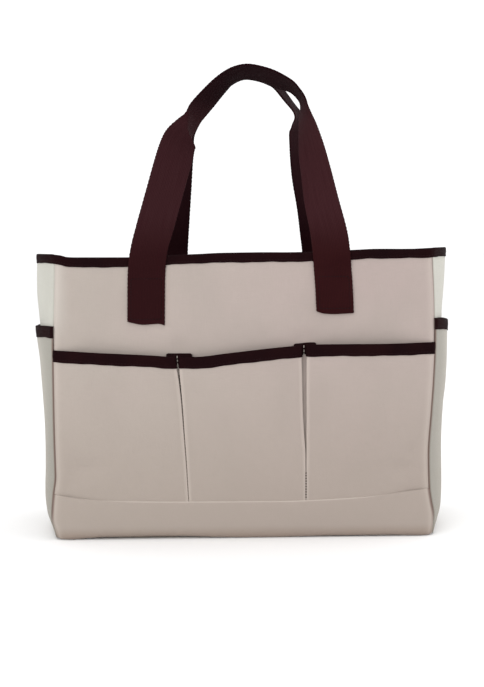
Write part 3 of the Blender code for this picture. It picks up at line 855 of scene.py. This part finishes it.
def strap_columns():
    """Places across the webbing, and the half thickness there: flat, with rounded edges."""
    half = WEBBING_WIDTH / 2
    edge = WEBBING / 2
    turn = np.radians((0, 25, 50, 70, 84))
    rounded = half - edge + edge * np.sin(turn)
    flat = np.linspace(-(half - edge), half - edge, 19)[1:-1]
    places = np.concatenate((-rounded[::-1], flat, rounded))
    height = np.concatenate((np.cos(turn)[::-1], np.ones(len(flat)), np.cos(turn))) * edge
    return places, height


def strap_surface(knots, crease):
    """Middle grid (points along, points across) of a strap, its normals and the columns' half thickness."""
    centre, run, twist = strap_frames(knots)
    places, height = strap_columns()
    half = WEBBING_WIDTH / 2
    outer_edge = centre - across(run, twist) * half
    turn = np.repeat(twist[:, None], len(places), axis=1)
    if crease:
        rising = np.arange(len(centre), dtype=float)
        start = int(np.argmin(np.abs(centre[:len(centre) // 2, 2] - CREASE_START)))
        end = int(np.argmin(np.abs(centre[:len(centre) // 2, 2] - CREASE_END)))
        spot = lerp(half + 4, -half - 4, np.clip((rising - start) / (end - start), 0, 1))
        after = np.interp(rising, (start, end), (86.0, twist[end]))
        before = np.interp(rising, (start, end), (twist[start], 18.0))
        share = smooth((places[None] - spot[:, None]) / 9.0 + 0.5)
        zone = ((rising >= start - 2) & (rising <= end + 4))[:, None]
        bent = lerp(before[:, None], after[:, None], share)
        settle = smooth((rising - end + 2) / 6)[:, None]
        lead = smooth((rising - start + 2) / 8)[:, None]
        turn = np.where(zone, lerp(lerp(turn, bent, lead), turn, settle), turn)
    ways = across(np.repeat(run[:, None], len(places), axis=1), turn)
    steps = np.diff(places, prepend=-half)[None, :, None]
    middle = outer_edge[:, None] + np.cumsum(ways * steps, axis=1)
    normals = np.cross(ways, np.repeat(run[:, None], len(places), axis=1))
    return middle, normals, height


def build_strap(name, face, knots, nodes, looks, crease):
    """One continuous strap: sewn tab, loop, sewn tab. It bends where it passes the rim."""
    middle, normals, height = strap_surface(knots, crease)
    places, _ = strap_columns()
    along = run_lengths(middle[:, middle.shape[1] // 2]) / MM
    ripple = 0.24 * np.sin(along * math.tau / 3.1)[:, None] * (np.abs(places) > WEBBING_WIDTH / 2 - 1.2)[None]
    ways = unit(np.gradient(middle, axis=1))
    middle = middle + ways * (ripple * np.sign(places)[None])[..., None]
    middle[:, :, 2] += end_shape(places, along) if face < 0 else 0.0
    top = middle + normals * height[None, :, None]
    under = middle - normals * height[None, :, None]
    around = np.concatenate((top, under[:, ::-1]), axis=1)
    if face > 0:
        around = around * np.array((1, -1, 1))
    rows, ring = around.shape[:2]
    numbers = np.arange(rows * ring).reshape(rows, ring)
    faces = [strips(numbers[r], numbers[r + 1], True) for r in range(rows - 1)]
    if face < 0:
        faces = [quads[:, ::-1] for quads in faces]
    faces = np.concatenate(faces).tolist()
    columns = len(places)
    for row, flip in ((0, face < 0), (rows - 1, face > 0)):
        upper = numbers[row, :columns]
        lower = numbers[row, columns:][::-1]
        cap = strips(upper, lower, False)
        faces += (cap if flip else cap[:, ::-1]).tolist()
    v = np.concatenate((places, places[::-1]))
    uv = np.stack(np.meshgrid(v * MM, along * MM), axis=-1).reshape(-1, 2)
    obj = make_object(name, around.reshape(-1, 3), faces, uv, looks["webbing"])
    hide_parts(*nodes)
    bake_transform(obj)
    return obj


def end_shape(places, along):
    """The two cut ends of the front strap aren't quite straight."""
    near_start = np.exp(-(along / 7.0) ** 2)[:, None]
    near_end = np.exp(-((along[-1] - along) / 7.0) ** 2)[:, None]
    first = through(((-19.3, 2.4), (-14, 1.0), (-3, -0.7), (13, 0.3), (19.3, -1.4)), places)
    last = through(((-19.3, -0.5), (0, -0.9), (12, 0.2), (19.3, 2.5)), places)
    return first[None] * near_start + last[None] * near_end


def box_stitch_rows(face, knots, last):
    """Points and normals of the four rows of stitches that hold a tab."""
    line = resample(catmull(knots, 8), 2.4, 2, False)
    half = len(line) // 2
    part = line[half:] if last else line[:half]
    part = part[np.argsort(part[:, 1])]
    low = part[0, 1] + 5.0
    high = 272.0
    reach = WEBBING_WIDTH / 2 - 3.6
    corners = ((-reach, low), (reach, low), (reach, high), (-reach, high))
    for start, end in zip(corners, corners[1:] + corners[:1]):
        share = np.linspace(0.0, 1.0, 24)
        z = lerp(start[1], end[1], share)
        x = np.interp(z, part[:, 1], part[:, 0]) + lerp(start[0], end[0], share)
        y = face * (HALF_DEPTH + strap_depth(x, z) + WEBBING / 2 + 0.05)
        points = np.stack((x, y, z), axis=1)
        normals = np.tile((0.0, float(face), 0.0), (len(z), 1))
        yield points, normals


def build_handles(looks):
    """The two straps and the box stitches at their ends."""
    for word, face, knots, crease in (("front", -1, FRONT_STRAP, True), ("back", 1, BACK_STRAP, False)):
        nodes = [f"{word}_handle", f"{word}_handle_left_tab", f"{word}_handle_right_tab"]
        build_strap(f"{word}_strap", face, knots, nodes, looks, crease)
        for side, last in (("left", False), ("right", True)):
            node = f"{word}_{side}_box_stitch"
            for number, (points, normals) in enumerate(box_stitch_rows(face, knots, last)):
                stitches(f"{word}_{side}_box_row_{number + 1}", points, normals, looks, nodes=[node],
                         pitch=2.9, radius=0.36)


# --- materials

class Nodes:
    """Short names for building one material's node tree."""

    def __init__(self, name):
        self.material = bpy.data.materials.new(name)
        self.material.use_nodes = True
        self.tree = self.material.node_tree
        self.shader = self.tree.nodes["Principled BSDF"]

    def put(self, socket, value):
        """Link a socket to another one, or set it to a number, vector or colour."""
        if isinstance(value, bpy.types.NodeSocket):
            self.tree.links.new(value, socket)
        elif socket.type == "RGBA":
            socket.default_value = (*value, 1.0)
        else:
            socket.default_value = value

    def add(self, kind, inputs={}, **settings):
        node = self.tree.nodes.new(kind)
        for key, value in settings.items():
            setattr(node, key, value)
        for key, value in inputs.items():
            self.put(node.inputs[key], value)
        return node

    def uv(self):
        return self.add("ShaderNodeUVMap", uv_map="UVMap").outputs["UV"]

    def place(self):
        return self.add("ShaderNodeTexCoord").outputs["Object"]

    def attribute(self, name):
        return self.add("ShaderNodeAttribute", attribute_name=name).outputs["Fac"]

    def split(self, vector):
        return self.add("ShaderNodeSeparateXYZ", {0: vector}).outputs

    def math(self, operation, a, b=0.0, c=0.0):
        return self.add("ShaderNodeMath", {0: a, 1: b, 2: c}, operation=operation).outputs[0]

    def times(self, a, b):
        return self.math("MULTIPLY", a, b)

    def noise(self, vector, scale, detail=2.0, roughness=0.5, stretch=None):
        """Noise from 0 to 1; stretch scales the vector's three numbers first."""
        if stretch is not None:
            vector = self.add("ShaderNodeMapping", {"Vector": vector, "Scale": stretch}).outputs["Vector"]
        inputs = {"Vector": vector, "Scale": scale, "Detail": detail, "Roughness": roughness}
        return self.add("ShaderNodeTexNoise", inputs).outputs["Fac"]

    def ramp(self, value, low, high, at_low=0.0, at_high=1.0):
        """Smooth change from at_low to at_high as the value goes from low to high."""
        inputs = {"Value": value, "From Min": low, "From Max": high, "To Min": at_low, "To Max": at_high}
        return self.add("ShaderNodeMapRange", inputs, interpolation_type="SMOOTHSTEP").outputs["Result"]

    def mix(self, share, a, b):
        inputs = {"Factor": share, "A": a, "B": b}
        return self.add("ShaderNodeMix", inputs, data_type="RGBA").outputs["Result"]

    def layer(self, base, colour, *ramp):
        """A colour laid over the base, as thick as ramp() of the rest."""
        return self.mix(self.ramp(*ramp), base, colour)

    def bump(self, height, distance, strength, normal=None):
        inputs = {"Strength": strength, "Distance": distance, "Height": height}
        if normal is not None:
            inputs["Normal"] = normal
        return self.add("ShaderNodeBump", inputs).outputs["Normal"]

    def finish(self, **inputs):
        """Set or link the shader's own sockets; a socket's name has _ for each space."""
        for key, value in inputs.items():
            self.put(self.shader.inputs[key.replace("_", " ")], value)
        return self.material


def weave(nodes, pitch_u, pitch_v, waver=0.10):
    """The UV map, the height of a plain weave on it (0 to 1), and the sign that tells warp from weft."""
    uv = nodes.uv()
    drift = nodes.noise(uv, 260.0, 1.0)
    waves = []
    for line, pitch, shift in zip(nodes.split(uv), (pitch_u, pitch_v), (waver, -waver)):
        turn = nodes.math("MULTIPLY_ADD", drift, shift, nodes.times(line, 1.0 / pitch))
        waves.append(nodes.math("SINE", nodes.times(turn, math.pi)))
    product = nodes.times(*waves)
    return uv, nodes.math("POWER", nodes.math("ABSOLUTE", product), 0.5), product


def canvas_material(name, colour, warm, seed, foot_shade, pale=0.0, seam_shade=0.0):
    """Unbleached cotton canvas: plain weave, slubs, faint hue drift, painted shade low down and in the seams,
    and painted highlights on some edges.

    seed moves the drift, soiled scales the colour at the foot for painted shade, pale says how far the top
    left corner, which is rounded back, gets a painted highlight, and dusty how much painted shade darkens a
    side towards its seams.
    """
    nodes = Nodes(name)
    colour = np.array(colour)
    dark = colour * 0.80
    uv, height, crossing = weave(nodes, 0.00085, 0.00085)
    place = nodes.place()
    x, y, z = nodes.split(place)
    slubs = nodes.math("ADD", nodes.noise(uv, 1.0, 2.0, 0.6, (1500.0, 70.0, 1.0)),
                       nodes.noise(uv, 1.0, 2.0, 0.6, (70.0, 1500.0, 1.0)))
    drift = nodes.noise(place, 7.0 + seed, 3.0, 0.55, (1.0, 1.0, 1.2))
    fine = nodes.noise(place, 900.0, 2.0, 0.6)
    blotch = nodes.noise(place, 17.0 + seed, 2.0, 0.5, (1.0, 1.0, 0.7))
    sideways = nodes.ramp(x, -0.16, 0.10, 0.0, 0.65)
    base = nodes.mix(nodes.math("MULTIPLY_ADD", nodes.ramp(drift, 0.32, 0.68), 0.35, sideways), colour, warm)
    base = nodes.layer(base, dark, blotch, 0.34, 0.60, 0.28, 0.0)
    base = nodes.layer(base, dark, slubs, 0.75, 1.25, 0.22, 0.0)
    base = nodes.layer(base, colour * 0.62, height, 0.05, 0.7, 0.30, 0.0)
    base = nodes.layer(base, dark, crossing, -0.4, 0.4, 0.0, 0.06)
    # Darker towards the foot, with a little noise: painted shade for the light falling off low down.
    low_shade = nodes.times(nodes.ramp(z, 0.02, 0.245, 1.0, 0.0), nodes.math("MULTIPLY_ADD", fine, 0.2, 0.75))
    base = nodes.mix(low_shade, base, colour * foot_shade)
    # Dark brown just above the floor: painted shade where the cloth turns under and stands off the floor.
    base = nodes.layer(base, (0.200, 0.140, 0.105), z, 0.001, 0.015, 0.55, 0.0)
    # Darker towards the front and back seams of a side: painted shade where the cloth turns in to the seams.
    base = nodes.layer(base, colour * 0.5, nodes.math("ABSOLUTE", y), 0.025, 0.076, 0.0, seam_shade)
    # Paler along the edges that a shell marks: painted highlights on rolled and folded edges, and paler edges
    # at the slits.
    base = nodes.mix(nodes.times(nodes.attribute("pale_edge"), 0.55), base, np.minimum(0.75, colour * 1.45))
    # Paler at the top left corner, which is rounded back: painted highlight where it turns towards the light.
    corner = nodes.times(nodes.ramp(x, -0.174, -0.192), nodes.ramp(z, 0.20, 0.24))
    base = nodes.mix(nodes.times(corner, pale), base, (0.560, 0.545, 0.500))
    # Dark brown along the seams, less near the floor and at the top left corner: painted shade in the seam
    # grooves.
    seam = nodes.times(nodes.attribute("seam"), nodes.ramp(z, 0.010, 0.030, 0.15, 0.85))
    seam = nodes.times(seam, nodes.math("MULTIPLY_ADD", corner, -0.8, 1.0))
    base = nodes.mix(seam, base, (0.110, 0.058, 0.045))
    normal = nodes.bump(nodes.noise(place, 45.0, 3.0), 0.0014, 0.5)
    normal = nodes.bump(slubs, 0.00022, 0.6, normal)
    normal = nodes.bump(height, 0.00011, 0.8, normal)
    return nodes.finish(Base_Color=base, Roughness=nodes.ramp(slubs, 0.6, 1.4, 0.82, 0.96), Normal=normal,
                        Specular_IOR_Level=0.25, Sheen_Weight=0.18, Sheen_Roughness=0.45,
                        Sheen_Tint=(1.0, 0.97, 0.93))


def tape_material():
    """Dark brown twill tape: fine slanting ribs, rubbed paler on its high spots, with a few pale fibres."""
    nodes = Nodes("twill_tape")
    u, v, _ = nodes.split(nodes.uv())
    rib = nodes.math("SINE", nodes.times(nodes.math("ADD", u, v), math.tau / 0.0011))
    across_rib = nodes.math("SINE", nodes.times(v, math.tau / 0.0006))
    height = nodes.math("MULTIPLY_ADD", across_rib, 0.3, rib)
    place = nodes.place()
    drift = nodes.noise(place, 30.0, 3.0)
    fibres = nodes.noise(place, 520.0, 3.0, 0.7)
    base = nodes.mix(nodes.ramp(drift, 0.3, 0.7), (0.0070, 0.0016, 0.0024), (0.0110, 0.0028, 0.0034))
    base = nodes.layer(base, (0.020, 0.007, 0.007), height, 0.2, 1.2, 0.0, 0.35)
    base = nodes.layer(base, (0.045, 0.028, 0.025), fibres, 0.66, 0.76, 0.0, 0.5)
    normal = nodes.bump(height, 0.00010, 0.8, nodes.bump(nodes.noise(place, 220.0), 0.0004, 0.5))
    return nodes.finish(Base_Color=base, Roughness=nodes.ramp(drift, 0.3, 0.7, 0.72, 0.88), Normal=normal,
                        Specular_IOR_Level=0.03, Sheen_Weight=0.012, Sheen_Roughness=0.4,
                        Sheen_Tint=(1.0, 0.75, 0.7))


def webbing_material():
    """Burgundy cotton webbing: cords along it, weft ribs across it, painted shade on the crown and the back
    handle.
    """
    nodes = Nodes("cotton_webbing")
    uv, height, _ = weave(nodes, 0.0016, 0.0011, 0.06)
    place = nodes.place()
    x, y, z = nodes.split(place)
    streak = nodes.noise(uv, 1.0, 3.0, 0.6, (900.0, 22.0, 1.0))
    drift = nodes.noise(place, 18.0, 3.0)
    fibres = nodes.noise(place, 480.0, 3.0, 0.7)
    # paler above the rim: partly wear, partly painted light on the legs, which lean back towards the light
    # from above
    layers = (((0.0425, 0.0136, 0.0160), z, 0.290, 0.345),                 # paler above the rim
              ((0.0190, 0.0060, 0.0072), x, 0.0, -0.05, 0.0, 0.35),        # darker at the left
              ((0.0230, 0.0052, 0.0070), streak, 0.35, 0.65, 0.0, 0.3),
              ((0.0100, 0.0024, 0.0032), height, 0.1, 0.8, 0.55, 0.0),     # between the cords
              # the crown: painted shade on its underside, which faces down away from the light
              ((0.0075, 0.0008, 0.0020), z, 0.43, 0.465, 0.0, 0.85),       # the crown
              # the back handle: painted shade, as its faces lie in the shade inside the bag
              ((0.0080, 0.0018, 0.0028), y, 0.0, 0.03, 0.0, 0.75),         # the back handle
              ((0.065, 0.030, 0.030), fibres, 0.70, 0.80, 0.0, 0.12))
    base = nodes.mix(nodes.ramp(drift, 0.3, 0.7), (0.0215, 0.0040, 0.0044), (0.0265, 0.0056, 0.0060))
    for layer in layers:
        base = nodes.layer(base, *layer)
    normal = nodes.bump(height, 0.00011, 0.7, nodes.bump(streak, 0.0002, 0.5))
    return nodes.finish(Base_Color=base, Roughness=nodes.ramp(streak, 0.3, 0.7, 0.72, 0.9), Normal=normal,
                        Specular_IOR_Level=0.03, Sheen_Weight=0.008, Sheen_Roughness=0.4,
                        Sheen_Tint=(1.0, 0.7, 0.7))


def thread_material(name, colour):
    """Twisted sewing thread."""
    nodes = Nodes(name)
    u, v, _ = nodes.split(nodes.uv())
    turn = nodes.math("MULTIPLY_ADD", v, math.tau / 0.002, nodes.times(u, math.tau / 0.0008))
    ply = nodes.math("SINE", turn)
    base = nodes.mix(nodes.ramp(ply, -1.0, 0.4, 0.6, 0.0), colour, np.array(colour) * 0.5)
    return nodes.finish(Base_Color=base, Roughness=0.65, Specular_IOR_Level=0.1,
                        Normal=nodes.bump(ply, 0.0001, 0.6))


def board_material():
    """Grey-brown fibre board, hidden under the bottom cloth."""
    nodes = Nodes("fibre_board")
    grain = nodes.noise(nodes.place(), 700.0, 4.0, 0.7)
    base = nodes.mix(nodes.ramp(grain, 0.3, 0.7), (0.30, 0.23, 0.15), (0.42, 0.33, 0.22))
    return nodes.finish(Base_Color=base, Roughness=0.9, Normal=nodes.bump(grain, 0.0002, 0.5))


def make_looks():
    """All the materials by name."""
    return {
        "canvas": canvas_material("canvas_front", (0.412, 0.360, 0.322), (0.408, 0.330, 0.310), 0.0,
                                  (0.80, 0.78, 0.76), pale=0.25),
        "side_canvas": canvas_material("canvas_side", (0.480, 0.476, 0.426), (0.480, 0.466, 0.420), 1.5,
                                       (0.70, 0.67, 0.66)),
        # A darker copy of the side canvas for the side pockets: painted shade low on the sides.
        "pocket_canvas": canvas_material("canvas_side_pocket", (0.390, 0.373, 0.325), (0.394, 0.362, 0.324),
                                         2.5, (0.76, 0.73, 0.72), seam_shade=0.5),
        "tape": tape_material(),
        "webbing": webbing_material(),
        "thread": thread_material("pale_thread", (0.62, 0.56, 0.50)),
        "dark_thread": thread_material("dark_thread", (0.013, 0.0040, 0.0050)),
        "board": board_material(),
    }


# --- camera, floor and light

CAMERA_PLACE = (0.0, -1.275, 0.309)
CAMERA_LENS = 61.1
CAMERA_PITCH = math.radians(5.0)         # looking down
CAMERA_ROLL = math.radians(0.7)
# Soft lights aimed at the middle of the bag: place, size and power
LIGHTS = {"key": ((-1.0, -1.6, 0.8), (1.2, 1.0), 11.0),
          "overhead": ((0.0, 0.15, 1.9), (1.8, 1.4), 3.5),
          "side": ((1.7, 0.0, 0.7), (0.8, 0.8), 7.5)}


def add_light(name, place, size, power):
    light = bpy.data.lights.new(name, "AREA")
    light.shape = "RECTANGLE"
    light.size, light.size_y = size
    light.energy = power
    lamp = bpy.data.objects.new(name, light)
    lamp.location = place
    aim = Vector((0.0, 0.0, 0.22)) - lamp.location
    lamp.rotation_euler = aim.to_track_quat("-Z", "Y").to_euler()
    bpy.context.scene.collection.objects.link(lamp)


def add_floor():
    """A pale plain floor."""
    bpy.ops.mesh.primitive_plane_add(size=60.0, location=(0.0, 0.0, 0.0))
    floor = bpy.context.object
    floor.name = "floor"
    nodes = Nodes("pale_floor")
    tone = nodes.mix(nodes.noise(nodes.place(), 3.0), (0.91, 0.91, 0.915), (0.93, 0.93, 0.93))
    floor.data.materials.append(nodes.finish(Base_Color=tone, Roughness=0.8))


def add_camera(scene):
    """The camera in front of the bag, looking down a little and slightly rolled."""
    camera = bpy.data.cameras.new("camera")
    camera.sensor_width = 36.0
    camera.lens = CAMERA_LENS
    holder = bpy.data.objects.new("camera", camera)
    ahead = Vector((0.0, math.cos(CAMERA_PITCH), -math.sin(CAMERA_PITCH)))
    level = Vector((1.0, 0.0, 0.0))
    upright = level.cross(ahead)
    right = level * math.cos(CAMERA_ROLL) - upright * math.sin(CAMERA_ROLL)
    up = level * math.sin(CAMERA_ROLL) + upright * math.cos(CAMERA_ROLL)
    turn = Matrix((right, up, -ahead)).transposed().to_4x4()
    holder.matrix_world = Matrix.Translation(CAMERA_PLACE) @ turn
    scene.collection.objects.link(holder)
    scene.camera = holder


def build_studio():
    """A pale floor, a white surround, three soft lights and the camera."""
    scene = bpy.context.scene
    scene.view_settings.view_transform = "Standard"
    add_floor()
    scene.world = bpy.data.worlds.new("white")
    scene.world.use_nodes = True
    background = scene.world.node_tree.nodes["Background"]
    background.inputs["Color"].default_value = (1.0, 1.0, 1.0, 1.0)
    background.inputs["Strength"].default_value = 1.12
    for name, light in LIGHTS.items():
        add_light(name, *light)
    add_camera(scene)


def main():
    """Build every piece around the CAD frame, then the studio."""
    looks = make_looks()
    build_walls(looks)
    build_rim_tape(looks)
    build_base(looks)
    build_front_pockets(looks)
    build_side_pockets(looks)
    build_handles(looks)
    board_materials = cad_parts["base_board"].data.materials
    board_materials.clear()
    board_materials.append(looks["board"])
    build_studio()


main()
